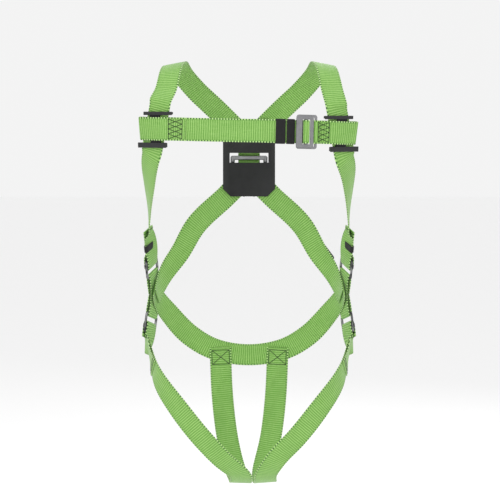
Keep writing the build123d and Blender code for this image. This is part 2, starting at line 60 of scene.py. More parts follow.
# ---------------------------------------------------------------- driving dimensions
WEB_WIDTH = 45.0
WEB_THICK = 1.7
HALF_WEB = WEB_THICK / 2
CLEAR = 0.3                  # gap between parts that move past each other
STEP = 11.0                  # spacing of the sections along a laid strap
FOLD_STEP_DEG = 30.0         # spacing of the sections round a fold

# height, half width and half depth of the body form
FORM = [
    (0, 194, 120), (230, 193, 120), (330, 188, 114), (420, 187, 109), (500, 192, 112),
    (560, 200, 117), (600, 209, 120), (650, 226, 122), (690, 240, 122), (760, 290, 122),
    (820, 330, 122),
]
FORM_POWER = 2.4             # squareness of the form's sections
CROTCH_HEIGHT = 150.0        # the form rounds in below this height
CROTCH_DROP = 160.0          # and ends this far below it
SHOULDER_HEIGHT = 660.0      # and above this one
SHOULDER_RISE = 181.0

CHEST_Z_RIGHT = 704.0        # the chest strap drops a little towards the wearer's left
CHEST_Z_LEFT = 696.0
CHEST_SPAN = 370.0           # between the two places where those heights are taken
BUCKLE_X = 106.0
GUIDE_X = {-1: 180.0, 1: 177.0}    # middle of each guide plate; the wearer isn't quite square
LOOP_END = {-1: 207.0, 1: 203.0}   # where the chest loops turn round the shoulder straps
CROTCH_OFFSET = 8.0          # the two leg straps meet this far to the wearer's left
HIP_Y = 40.0                 # the hip hardware sits just behind the widest line of the body
HIP_LEAN_DEG = 18.0          # both ends of the hip hardware lean forward from its middle
HIP_Z = 366.0
DORSAL_Z = 640.0

# heights of the layers above the form, each to the middle of the layer
BASE_LIFT = 1.2              # a strap that lies on the form
UNDER_LIFT = 3.6             # a shoulder strap where the chest loop passes behind it
FLAP_LIFT = 9.8              # the chest loop's front layer over the guide plate
SEWN_LIFT = 3.2              # the chest loop's front layer where it is sewn to the back layer

FRAME_THICK = 3.0            # steel buckle plates
BAR_TRAVEL = 3.0             # free travel of a hip friction bar
CHEST_BAR_TRAVEL = 1.5

GUIDE_LEAN = 0.24            # the shoulder strap leans inward by this slope in the guide plate
RING_ROD = 9.0
DORSAL_PLATE = (160.0, 108.0, 2.5)
CROSSING_GAP = 2.3           # from one crossing strap to the other
CROSSING_BEND = 20.0         # the straps turn to the diagonal over this length
PLATE_LAYER = CLEAR + DORSAL_PLATE[2] + CLEAR + HALF_WEB + 0.3

# chest buckle, along u from its middle and outward h
FEMALE_BAR = (19.5, 24.5)    # the bar that the short strap is sewn round
CHEST_BAR = (-1.2, 5.8)
MAIN_LAYER = BASE_LIFT + WEB_THICK + 0.5
FEMALE_LEVEL = 6.4
CHEST_BAR_HIGH = 12.2
RIDGE_LAYER = CHEST_BAR_HIGH + CLEAR + HALF_WEB
RISE_U = CHEST_BAR[0] - CLEAR - HALF_WEB
FALL_U = CHEST_BAR[1] + CHEST_BAR_TRAVEL + CLEAR + HALF_WEB
MAIN_STRAIGHT = 74.0         # the long strap is straight for this far before the buckle
TAIL_STRAIGHT = 70.0
CHEST_KEEPERS = {"chest_keeper_outer": (-56.0, -37.0), "chest_keeper_inner": (-34.5, -19.0)}


HIP_LEVEL = 11.5              # middle of the frames above the form
FIXED_BAR = (42.0, 47.0)     # start and end of the fixed bar along the strap, from the hip's middle
BAR_SPOT = 70.0              # middle of the friction bar
BAR_WIDTH = 8.0
BACK_LAYER = HIP_LEVEL - FRAME_THICK / 2 - CLEAR - HALF_WEB
FRONT_LAYER = HIP_LEVEL + FRAME_THICK / 2 + CLEAR + HALF_WEB
EAR_LOW = HIP_LEVEL + FRAME_THICK / 2 + CLEAR
BAR_HIGH = EAR_LOW + 1.5
TAIL_LAYER = BAR_HIGH + CLEAR + HALF_WEB
KEEPER_SPOT = 106.0
KEEPER_WIDTH = 14.0
KEEPER_TRAVEL = 8.0
KEEPER_WALL = 1.2
TAIL_REST = BACK_LAYER + WEB_THICK + 0.5   # the tail where it lies on its own strap
RING_PIVOT = 2 * CLEAR + RING_ROD / 2
RING_OVER = RING_PIVOT + RING_ROD / 2 + CLEAR + HALF_WEB


# ---------------------------------------------------------------- body form and strap routes
def smooth(value, column):
    """Smooth interpolation of one column of the form at a height."""
    xs = np.array([row[0] for row in FORM], float)
    ys = np.array([row[column] for row in FORM], float)
    return hermite(value, xs, ys)


def hermite(value, xs, ys):
    value = min(max(value, xs[0]), xs[-1] - 1e-9)
    chord = np.diff(ys) / np.diff(xs)
    slope = np.concatenate([[chord[0]], (chord[1:] + chord[:-1]) / 2, [chord[-1]]])
    i = int(np.searchsorted(xs, value, side="right")) - 1
    h = xs[i + 1] - xs[i]
    t = (value - xs[i]) / h
    start = (1 + 2 * t) * (1 - t) ** 2 * ys[i] + t * (1 - t) ** 2 * h * slope[i]
    end = t * t * (3 - 2 * t) * ys[i + 1] + t * t * (t - 1) * h * slope[i + 1]
    return start + end


def form_level(p):
    """Below 0 inside the form, 0 on it, above 0 outside."""
    end = 0.0
    if p[2] < CROTCH_HEIGHT:
        end = (CROTCH_HEIGHT - p[2]) / CROTCH_DROP
    if p[2] > SHOULDER_HEIGHT:
        end = (p[2] - SHOULDER_HEIGHT) / SHOULDER_RISE
    side = abs(p[0] / smooth(p[2], 1)) ** FORM_POWER
    depth = abs(p[1] / smooth(p[2], 2)) ** FORM_POWER
    return (side + depth + end ** FORM_POWER) ** (1 / FORM_POWER) - 1


def form_gradient(p):
    rise = np.zeros(3)
    for i in range(3):
        shift = np.zeros(3)
        shift[i] = 0.5
        rise[i] = form_level(p + shift) - form_level(p - shift)
    return rise


def onto_form(point):
    """Nearest place on the form, and the outward direction there."""
    p = np.array(point, float)
    for _ in range(10):
        g = form_gradient(p)
        p = p - form_level(p) * g / (g @ g)
    g = form_gradient(p)
    return p, g / np.linalg.norm(g)


def unit(v):
    return v / np.linalg.norm(v)


def laid(route, step=STEP):
    """Sections of a strap laid on the form along (x, y, z, lift) rows."""
    rows = np.array(route, float)
    runs = np.linalg.norm(np.diff(rows[:, :3], axis=0), axis=1)
    stations = np.concatenate([[0], np.cumsum(runs)])
    count = max(3, int(round(stations[-1] / step)) + 1)
    middles = []
    outs = []
    for s in np.linspace(0, stations[-1], count):
        x, y, z, lift = [hermite(s, stations, rows[:, k]) for k in range(4)]
        p, n = onto_form((x, y, z))
        middles.append(p + n * lift)
        outs.append(n)
    middles = np.array(middles)
    along = np.gradient(middles, axis=0)
    sections = []
    for p, t, n in zip(middles, along, outs):
        width = unit(np.cross(t, n))
        sections.append((p, width, unit(np.cross(width, t))))
    return sections


class Site:
    """A flat working place on the form: u along the strap, v across it, h outward."""

    def __init__(self, point, toward):
        self.origin, self.h = onto_form(point)
        self.v = unit(np.cross(self.h, np.array(toward, float)))
        self.u = np.cross(self.v, self.h)

    def at(self, u, v, h):
        return self.origin + self.u * u + self.v * v + self.h * h

    def path(self, corners):
        """Sections along (u, h, radius) corners, each corner rounded by its radius."""
        points = []
        for i, (u, h, r) in enumerate(corners):
            here = np.array([u, h], float)
            if i in (0, len(corners) - 1):
                points.append(here)
                continue
            before = unit(np.array(corners[i - 1][:2], float) - here)
            after = unit(np.array(corners[i + 1][:2], float) - here)
            turn = math.pi - math.acos(float(np.clip(before @ after, -1, 1)))
            centre = here + unit(before + after) * r / math.cos(turn / 2)
            first = here + before * r * math.tan(turn / 2) - centre
            spin = math.copysign(1, before[1] * after[0] - before[0] * after[1])
            steps = max(2, int(math.degrees(turn) / FOLD_STEP_DEG + 0.99))
            for k in range(steps + 1):
                a = spin * turn * k / steps
                c, s = math.cos(a), math.sin(a)
                points.append(centre + [first[0] * c - first[1] * s, first[0] * s + first[1] * c])
        points = np.array(points)
        runs = np.diff(points, axis=0)
        runs /= np.linalg.norm(runs, axis=1)[:, None]
        sections = []
        for i, p in enumerate(points):
            t = unit(runs[max(i - 1, 0)] + runs[min(i, len(runs) - 1)])
            out = self.u * -t[1] + self.h * t[0]
            sections.append((self.at(p[0], 0, p[1]), -self.v, out))
        return sections


def fold(section, travel, radius):
    """Sections of a half turn outward from a section that is travelling along `travel`."""
    middle, across, out = section
    sections = []
    steps = int(180 / FOLD_STEP_DEG)
    for k in range(1, steps):
        a = math.pi * k / steps
        point = middle + out * radius * (1 - math.cos(a)) + travel * radius * math.sin(a)
        sections.append((point, across, out * math.cos(a) - travel * math.sin(a)))
    return sections


def flipped(sections):
    """The same run with its outward side turned under, as after a fold."""
    return [(p, -w, -n) for p, w, n in sections]


def backwards(sections):
    """The run travelled the other way, with its outward side turned under."""
    return [(p, w, -n) for p, w, n in sections[::-1]]


def row_above(point):
    """The route row of a point: its place and its lift above the form."""
    base, out = onto_form(point)
    return (*base, float((point - base) @ out))


def chest_row(x, lift):
    """Route row on the front of the chest, along the chest strap's sloping line."""
    z = (CHEST_Z_RIGHT + CHEST_Z_LEFT) / 2 + x * (CHEST_Z_LEFT - CHEST_Z_RIGHT) / CHEST_SPAN
    y = -smooth(z, 2) * (1 - abs(x / smooth(z, 1)) ** FORM_POWER) ** (1 / FORM_POWER)
    return (x, y, z, lift)


def chest_site():
    slope = (CHEST_Z_LEFT - CHEST_Z_RIGHT) / CHEST_SPAN
    return Site(chest_row(BUCKLE_X, 0)[:3], (1, 0, slope))


def guide_site(side):
    """Middle of the guide plate on a shoulder strap, u up."""
    return Site(chest_row(side * GUIDE_X[side], 0)[:3], (0, 0, 1))


def hip_site(side, way):
    """The hip's upper half (way 1) or lower half (way -1), u up in both."""
    lean = math.radians(HIP_LEAN_DEG)
    return Site((side * 190, HIP_Y, HIP_Z), (0, -way * math.sin(lean), math.cos(lean)))


def dorsal_site():
    return Site((0, 120, DORSAL_Z), (0, 0, 1))


def adjuster_path(site, way, tail, straight):
    """Sections of a strap from `tail`, over the frame, round the friction bar and back behind."""
    radius = (TAIL_LAYER - BACK_LAYER) / 2
    turn = way * (BAR_SPOT - BAR_WIDTH / 2 - BAR_TRAVEL) - way * radius
    corners = tail + [
        (turn, TAIL_LAYER, radius * 0.999), (turn, BACK_LAYER, radius * 0.999),
        (way * straight, BACK_LAYER, 0),
    ]
    return site.path(corners)


def hip_loop(side):
    """The hip strap: one loop round both fixed bars, its ends meeting in the front layer."""
    radius = (FRONT_LAYER - BACK_LAYER) / 2 * 0.999
    reach = FIXED_BAR[1] + 1.0 + HALF_WEB
    near = 12
    upper = hip_site(side, 1).path([(near, FRONT_LAYER, 0), (reach, FRONT_LAYER, radius),
                                    (reach, BACK_LAYER, radius), (near, BACK_LAYER, 0)])
    lower = hip_site(side, -1).path([(-near, BACK_LAYER, 0), (-reach, BACK_LAYER, radius),
                                     (-reach, FRONT_LAYER, radius), (-near, FRONT_LAYER, 0)])
    return [seam_section(side, 0.3)] + upper + lower + [seam_section(side, -0.3)]


def seam_section(side, u):
    """Front-layer section at the middle of the hip, where the loop's ends meet."""
    upper = hip_site(side, 1)
    lower = hip_site(side, -1)
    across = unit(upper.v + lower.v)
    up = unit(upper.u + lower.u)
    middle = upper.origin + up * u + upper.h * FRONT_LAYER
    return (middle, -across, upper.h)


def flat_run(site, rows):
    """Sections through (u, v, h) rows of a site, kept square to the site."""
    points = np.array(rows, float)
    along = np.gradient(points, axis=0)
    sections = []
    for (u, v, h), (du, dv, dh) in zip(points, along):
        travel = unit(site.u * du + site.v * dv + site.h * dh)
        width = unit(np.cross(travel, site.h))
        sections.append((site.at(u, v, h), width, np.cross(width, travel)))
    return sections


def back_crossing(side):
    """The strap over the back plate, from its shoulder down to the other hip.

    Both straps turn straight where they pass over the ring's bar, one above the other.
    """
    over = CROSSING_GAP if side > 0 else 0.0
    rows = []
    for u in (72, 60, 51, 42, 35, 28, 23, 17, 6, -6, -17, -23, -28, -35, -42, -51, -60, -72):
        away = max(0.0, abs(u) - 22)
        turned = min(away, CROSSING_BEND)
        v = turned ** 2 / (2 * CROSSING_BEND) + away - turned
        h = RING_OVER if abs(u) < 10 else PLATE_LAYER
        rows.append((u, side * math.copysign(v, u), h + over))
    return flat_run(dorsal_site(), rows)


def main_strap(side):
    """Side adjuster, up the flank, over the shoulder, across the back to the other hip."""
    hip = hip_site(side, 1)
    guide = guide_site(side)
    back = dorsal_site()
    straight = KEEPER_SPOT + KEEPER_WIDTH + KEEPER_TRAVEL
    tail = [(142, TAIL_REST, 0), (96, TAIL_REST, 12), (86, TAIL_LAYER, 12)]
    flank = laid([
        row_above(hip.at(straight + 11, 0, BACK_LAYER)), (side * 202, -22, 545, 3.0),
        (side * 198, -54, 600, BASE_LIFT), row_above(guide.at(-56, -side * 13.5, UNDER_LIFT)),
    ])
    chest = flat_run(guide, [(u, side * GUIDE_LEAN * u, UNDER_LIFT) for u in (-43, -20, 0, 20, 43)])
    shoulder = laid([
        row_above(guide.at(54, side * 13, UNDER_LIFT)), (side * 160, -82, 778, 1.8),
        (side * 152, -48, 816, BASE_LIFT), (side * 146, 8, 832, BASE_LIFT),
        (side * 134, 62, 806, BASE_LIFT), (side * 108, 94, 777, 1.8), (side * 80, 110, 751, 2.2),
        row_above(back.at(84, side * 52, PLATE_LAYER)),
    ])
    loin = laid([
        row_above(back.at(-84, -side * 52, PLATE_LAYER)), (-side * 112, 106, 500, 1.8),
        (-side * 146, 94, 448, BASE_LIFT), (-side * 180, 62, 402, BASE_LIFT),
        (-side * 193, 26, 362, BASE_LIFT),
    ])
    local = adjuster_path(hip, 1, tail, straight)
    return local + flank + chest + shoulder + back_crossing(side) + loin


def chest_strap_right():
    """Long part: loop round the right shoulder strap, across the chest, through the buckle."""
    flap = laid([chest_row(-LOOP_END[-1], FLAP_LIFT), chest_row(-186, FLAP_LIFT),
                 chest_row(-155, FLAP_LIFT), chest_row(-146, 5.2),
                 chest_row(-138, SEWN_LIFT), chest_row(-122, SEWN_LIFT)], 6)
    back = laid([chest_row(-LOOP_END[-1], BASE_LIFT), chest_row(-170, BASE_LIFT), chest_row(-122, BASE_LIFT),
                 chest_row(-70, 2.4), chest_row(-20, 4.6),
                 row_above(chest_site().at(-MAIN_STRAIGHT - 9, 0, MAIN_LAYER))])
    travel = unit(back[0][0] - back[1][0])
    turn = fold(back[0], travel, (FLAP_LIFT - BASE_LIFT) / 2)[::-1]
    through = chest_site().path([
        (-MAIN_STRAIGHT, MAIN_LAYER, 0), (RISE_U, MAIN_LAYER, 2.0), (RISE_U, RIDGE_LAYER, 2.4),
        (FALL_U, RIDGE_LAYER, 2.4), (FALL_U, BASE_LIFT, 1.2), (-TAIL_STRAIGHT, BASE_LIFT, 0)])
    return backwards(flap) + turn + back + through


def chest_strap_left():
    """Short part: sewn round the buckle frame's bar, and looped round the left shoulder strap."""
    back_h = FEMALE_LEVEL - FRAME_THICK / 2 - CLEAR - HALF_WEB
    front_h = FEMALE_LEVEL + FRAME_THICK / 2 + CLEAR + HALF_WEB
    radius = (front_h - back_h) / 2 * 0.999
    turn_u = FEMALE_BAR[0] - 1.0 - HALF_WEB
    end_u = FEMALE_BAR[1] + 1
    start = laid([chest_row(158, BASE_LIFT), chest_row(148, BASE_LIFT), chest_row(138, 2.6)], 5)
    wrap = chest_site().path([(end_u, back_h, 0), (turn_u, back_h, radius),
                              (turn_u, front_h, radius), (end_u, front_h, 0)])
    front = laid([chest_row(134.5, 5.6), chest_row(139, 3.6), chest_row(144, 5.4),
                  chest_row(152, FLAP_LIFT), chest_row(190, FLAP_LIFT), chest_row(LOOP_END[1], FLAP_LIFT)], 6)
    back = laid([chest_row(162, BASE_LIFT), chest_row(184, BASE_LIFT), chest_row(LOOP_END[1], BASE_LIFT)], 6)
    travel = unit(back[-1][0] - back[-2][0])
    turn = backwards(fold(back[-1], travel, (FLAP_LIFT - BASE_LIFT) / 2))
    return flipped(start) + wrap + front + turn + backwards(back)


def leg_strap(side):
    """Sewn to the seat strap, between the legs, up the front to the leg buckle, and its tail."""
    straight = 94
    site = hip_site(side, -1)
    tail = laid([(side * 201, -40, 224, 3.2), (side * 206, -18, 243, 5.2),
                 (side * 207, -6, 262, 11), row_above(site.at(-100, 0, TAIL_LAYER + 1))])
    local = adjuster_path(site, -1, [(-92, TAIL_LAYER, 0)], straight)
    offset = CROTCH_OFFSET
    route = [
        row_above(site.at(-straight - 11, 0, BACK_LAYER)),
        (side * 206, -18, 243, 3.0),
        (side * 184, -60, 208, BASE_LIFT), (side * 142, -98, 156, BASE_LIFT),
        (side * 93, -106, 100, BASE_LIFT), (side * 54, -100, 57, BASE_LIFT),
        (offset + side * 26, -80, 20, BASE_LIFT), (offset + side * 25, -40, -5, BASE_LIFT),
        (offset / 2 + side * 24, 10, -10, BASE_LIFT), (side * 30, 60, 4, BASE_LIFT),
        (side * 46, 102, 66, BASE_LIFT), (side * 56, 117, 150, BASE_LIFT),
        (side * 60, 118, 244, BASE_LIFT),
    ]
    return tail + local + flipped(laid(route))


def seat_strap():
    """Under the seat from hip to hip, over the sewn ends of the leg straps."""
    half = [(193, 18, 382, 4.8), (188, 50, 352, 4.8), (166, 86, 316, 3.2), (124, 110, 272, 2.4),
            (70, 118, 240, 4.0)]
    middle = [(0, 118, 228, 3.6)]
    other = [(-x, y, z, lift) for x, y, z, lift in half[::-1]]
    return laid(half + middle + other)


LABEL_SIZE = (50.0, 42.0)
LABEL_STAND = 2.4            # the flat sleeve clears the twist of the strap by this much


def label_site():
    """On the outer face of the strap that runs down to the wearer's left hip, u up along it."""
    site = Site((151, 89, 441), (-0.535, 0.42, 0.74))
    site.origin = site.at(0, 0, BASE_LIFT + HALF_WEB + LABEL_STAND)
    return site


# ---------------------------------------------------------------- millimetres to the row frame
PIVOT = dorsal_site().at(0, 0, RING_PIVOT)


def in_row(points):
    return (np.asarray(points, float) - PIVOT) * MM


# ---------------------------------------------------------------- webbing as meshes
ROW_STEP = 1.9               # spacing of the mesh's rows along a strap
SCALLOP_PITCH = 5.7          # the selvedge's weft loops
SCALLOP = 0.22               # how far the loops stand out at the edge
CROWN = 0.12                 # a band is this much thicker in the middle
FLAT_COLUMNS = 10            # of the mesh across a band's flat side
EDGE_TURNS = [35, 90, 145]   # degrees round a band's edge
SAME_PLACE = 0.2             # sections nearer than this count as one


class Run:
    """A strap's centre line, width and outward directions as smooth functions of the length."""

    def __init__(self, sections):
        keep = [sections[0]]
        for section in sections[1:]:
            if np.linalg.norm(section[0] - keep[-1][0]) > SAME_PLACE:
                keep.append(section)
        self.table = np.array([np.concatenate(section) for section in keep])
        steps = np.linalg.norm(np.diff(self.table[:, :3], axis=0), axis=1)
        self.stations = np.concatenate([[0], np.cumsum(steps)])
        self.length = self.stations[-1]

    def at(self, lengths):
        """Centres, width directions and outward directions at these lengths."""
        xs = self.stations
        ys = self.table
        s = np.clip(np.atleast_1d(lengths), 0, xs[-1] - 1e-9)
        chord = np.diff(ys, axis=0) / np.diff(xs)[:, None]
        slope = np.concatenate([chord[:1], (chord[1:] + chord[:-1]) / 2, chord[-1:]])
        i = np.searchsorted(xs, s, side="right") - 1
        h = (xs[i + 1] - xs[i])[:, None]
        t = ((s - xs[i])[:, None]) / h
        value = ((1 + 2 * t) * (1 - t) ** 2 * ys[i] + t * (1 - t) ** 2 * h * slope[i]
                 + t * t * (3 - 2 * t) * ys[i + 1] + t * t * (t - 1) * h * slope[i + 1])
        centre, width, out = value[:, :3], value[:, 3:6], value[:, 6:]
        width = width / np.linalg.norm(width, axis=1)[:, None]
        out = out / np.linalg.norm(out, axis=1)[:, None]
        return centre, width, out

    def station(self, axis, value):
        """The length at which the centre line reaches a coordinate."""
        reach = self.table[:, axis]
        order = np.argsort(reach)
        return float(np.interp(value, reach[order], self.stations[order]))


def band_profile(half, thick, columns):
    """(across, outward) points of a band's cross-section, once round."""
    edge = thick / 2
    flat = np.linspace(-1, 1, columns)
    top = [(x * (half - edge), edge + CROWN * (1 - x * x) - CROWN / 2) for x in flat]
    right = [(half - edge + edge * math.sin(a), edge * math.cos(a))
             for a in np.radians(EDGE_TURNS)]
    bottom = [(-x, -y) for x, y in top]
    left = [(-x, -y) for x, y in right]
    return np.array(top + right + bottom + left)


def band_mesh(name, run, half, thick, closed=False, scallop=SCALLOP, columns=FLAT_COLUMNS,
              step=ROW_STEP):
    """A woven band along a run, with UVs in metres: u across and v along."""
    count = max(4, int(run.length / step))
    lengths = np.linspace(0, run.length, count + 1)
    if closed:
        lengths = lengths[:-1]
    centre, width, out = run.at(lengths)
    profile = band_profile(half, thick, columns)
    grow = 1 + scallop / half * np.sin(2 * math.pi * lengths / SCALLOP_PITCH)
    side = np.abs(profile[:, 0]) > half - thick
    across = np.where(side[None, :], profile[None, :, 0] * grow[:, None], profile[None, :, 0])
    points = (centre[:, None, :] + width[:, None, :] * across[:, :, None]
              + out[:, None, :] * profile[None, :, 1, None])
    rows, around = points.shape[:2]
    verts = in_row(points.reshape(-1, 3))
    faces = []
    uvs = []
    last = rows if closed else rows - 1
    for r in range(last):
        n = (r + 1) % rows
        v0 = lengths[r] * MM
        v1 = (run.length if n == 0 else lengths[n]) * MM
        for k in range(around):
            j = (k + 1) % around
            faces.append((r * around + k, n * around + k, n * around + j, r * around + j))
            u0 = (profile[k, 0] + half) * MM
            u1 = (profile[j, 0] + half) * MM
            uvs += [(u0, v0), (u0, v1), (u1, v1), (u1, v0)]
    if not closed:
        for start, order in ((0, range(around)), ((rows - 1) * around, range(around - 1, -1, -1))):
            faces.append(tuple(start + k for k in order))
            v = lengths[0 if start == 0 else -1] * MM
            uvs += [((profile[k, 0] + half) * MM, v) for k in order]
    mesh = bpy.data.meshes.new(name)
    mesh.from_pydata([tuple(v) for v in verts], [], faces)
    layer = mesh.uv_layers.new(name="weave")
    layer.data.foreach_set("uv", np.array(uvs).ravel())
    mesh.validate()
    fix_outward(mesh)
    return add_piece(name, mesh)


def fix_outward(mesh):
    """Turn the faces outward and shade them smooth."""
    work = bmesh.new()
    work.from_mesh(mesh)
    bmesh.ops.recalc_face_normals(work, faces=work.faces)
    work.to_mesh(mesh)
    work.free()
    for face in mesh.polygons:
        face.use_smooth = True
    mesh.update()


def add_piece(name, mesh):
    piece = bpy.data.objects.new(name, mesh)
    bpy.context.scene.collection.objects.link(piece)
    return piece


def dress(piece, material, body="harness"):
    """Give a piece its material and the body that it moves with."""
    piece.data.materials.clear()
    piece.data.materials.append(material)
    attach(piece, body)


# ---------------------------------------------------------------- stitching
STITCH = 3.3                 # length of one stitch and its gap
THREAD = 0.62                # radius of the thread
THREAD_SIDES = 6
STITCH_POINTS = 6            # along one stitch
HOLE = 0.06                  # share of a stitch left free at each of its ends


def stitches(name, run, lines, outward=1):
    """Rows of stitches on a run's face. A line is (length, across, length, across)."""
    verts = []
    faces = []
    sides = np.arange(THREAD_SIDES) * 2 * math.pi / THREAD_SIDES
    ring = [(math.cos(a), math.sin(a)) for a in sides]
    # Each stitch comes up out of the webbing, arches over and goes down again.
    hump = np.sin(np.linspace(0.12, math.pi - 0.12, STITCH_POINTS)) * 0.75 - 0.20
    rise = HALF_WEB + hump * THREAD
    for s0, a0, s1, a1 in lines:
        reach = math.hypot(s1 - s0, a1 - a0)
        count = max(1, int(round(reach / STITCH)))
        for k in range(count):
            f = np.linspace((k + HOLE) / count, (k + 1 - HOLE) / count, STITCH_POINTS)
            s = s0 + (s1 - s0) * f
            a = a0 + (a1 - a0) * f
            centre, width, out = run.at(s)
            line = centre + width * a[:, None] + out * (outward * rise)[:, None]
            along = np.gradient(line, axis=0)
            along /= np.linalg.norm(along, axis=1)[:, None]
            beside = np.cross(along, out)
            beside /= np.linalg.norm(beside, axis=1)[:, None]
            first = len(verts)
            for p, b, n in zip(line, beside, out):
                verts += [p + THREAD * (b * c + n * outward * d) for c, d in ring]
            for i in range(first, len(verts) - THREAD_SIDES, THREAD_SIDES):
                for j in range(THREAD_SIDES):
                    following = (j + 1) % THREAD_SIDES
                    faces.append((i + j, i + following, i + THREAD_SIDES + following,
                                  i + THREAD_SIDES + j))
            faces.append(tuple(range(first + THREAD_SIDES - 1, first - 1, -1)))
            faces.append(tuple(range(len(verts) - THREAD_SIDES, len(verts))))
    mesh = bpy.data.meshes.new(name)
    mesh.from_pydata([tuple(v) for v in in_row(verts)], [], faces)
    fix_outward(mesh)
    dress(add_piece(name, mesh), thread_material)


def ladder(s0, s1, half, rows):
    """Two long sides and crossing zig-zags between them, as on the chest loops."""
    lines = [(s0, -half, s0, half), (s1, -half, s1, half)]
    cells = np.linspace(-half, half, rows + 1)
    for low, high in zip(cells[:-1], cells[1:]):
        lines += [(s0, low, s1, high), (s0, high, s1, low)]
    return lines


def boxed(s0, s1, half):
    """A sewn box with a cross."""
    return [(s0, -half, s1, -half), (s1, -half, s1, half), (s1, half, s0, half),
            (s0, half, s0, -half), (s0, -half, s1, half), (s0, half, s1, -half)]


# ---------------------------------------------------------------- materials
class Nodes:
    """A short way to write a material's nodes."""

    def __init__(self, name):
        self.material = bpy.data.materials.new(name)
        self.material.use_nodes = True
        self.tree = self.material.node_tree
        self.shader = self.tree.nodes["Principled BSDF"]

    def add(self, kind, **values):
        node = self.tree.nodes.new(kind)
        for key, value in values.items():
            if key in node.inputs:
                node.inputs[key].default_value = value
            else:
                setattr(node, key, value)
        return node

    def join(self, source, target):
        self.tree.links.new(source, target)

    def math(self, operation, a, b=0.0, c=None):
        node = self.add("ShaderNodeMath", operation=operation)
        for socket, value in zip(node.inputs, (a, b, c)):
            if value is None:
                continue
            if isinstance(value, (int, float)):
                socket.default_value = value
            else:
                self.join(value, socket)
        return node.outputs[0]

    def mix(self, factor, a, b):
        node = self.add("ShaderNodeMix", data_type="RGBA")
        for socket, value in ((node.inputs[0], factor), (node.inputs[6], a), (node.inputs[7], b)):
            if isinstance(value, tuple):
                socket.default_value = (*value, 1)
            elif isinstance(value, (int, float)):
                socket.default_value = value
            else:
                self.join(value, socket)
        return node.outputs[2]

    def noise(self, scale, detail=3.0, source=None, stretch=None):
        node = self.add("ShaderNodeTexNoise", Scale=scale, Detail=detail)
        if source is None:
            source = self.add("ShaderNodeTexCoord").outputs["Object"]
        if stretch is not None:
            mapping = self.add("ShaderNodeMapping", Scale=stretch)
            self.join(source, mapping.inputs[0])
            source = mapping.outputs[0]
        self.join(source, node.inputs["Vector"])
        return node.outputs[0]

    def bump(self, height, distance, strength=1.0):
        node = self.add("ShaderNodeBump", Strength=strength, Distance=distance)
        self.join(height, node.inputs["Height"])
        return node.outputs[0]

    def ramp(self, factor, low, high):
        node = self.add("ShaderNodeMapRange", clamp=True)
        node.inputs[1].default_value = low
        node.inputs[2].default_value = high
        self.join(factor, node.inputs[0])
        return node.outputs[0]


# Lengths in materials are in metres, and so are the UVs: across a band, then along it.
RIB_PITCH = 0.0044
TWILL_PITCH = 0.0011
HALF_M = WEB_WIDTH / 2 * MM
# GREEN_DEEP is both painted shade (rib grooves, the groove inside each selvedge) and the darker tone of the
# cloudy dye; GREEN_PALE is both painted highlight (rib crests, weft loops) and the pale streaks;
# SELVEDGE_DARK is painted shade between the weft loops.
GREEN = (0.235, 0.480, 0.092)
GREEN_DEEP = (0.105, 0.290, 0.034)
GREEN_PALE = (0.460, 0.710, 0.250)
SELVEDGE_DARK = (0.025, 0.110, 0.012)


